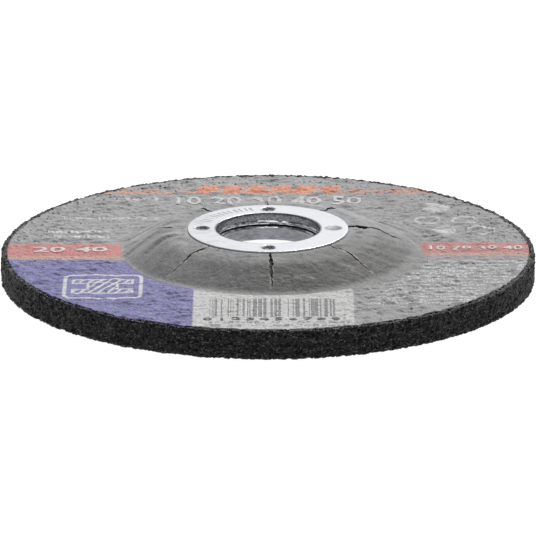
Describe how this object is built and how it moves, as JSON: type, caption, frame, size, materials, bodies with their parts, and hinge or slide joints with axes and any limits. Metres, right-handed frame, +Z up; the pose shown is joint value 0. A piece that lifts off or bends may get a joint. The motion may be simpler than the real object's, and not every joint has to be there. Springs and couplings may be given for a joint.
{
  "type": "grinding disc",
  "caption": "Depressed-centre grinding disc for an angle grinder: abrasive wheel with a raised hub, slit paper label and a flanged steel centre ring.",
  "frame": {"origin": "on the disc's axis, in the plane of its grinding face", "axes": "+Z up along the axis, from the grinding face to the hub; -Y is the front in the picture"},
  "size_m": [0.115, 0.115, 0.0111],
  "materials": {
    "abrasive": "coarse black grain bound in resin",
    "paper_label": "matt printed paper pressed over the fibre mesh",
    "ring_steel": "bright zinc plated sheet"
  },
  "bodies": {
    "root": {"wheel_body": "abrasive", "label": "paper_label", "upper_ring": "ring_steel", "lower_ring": "ring_steel"}
  },
  "joints": []
}
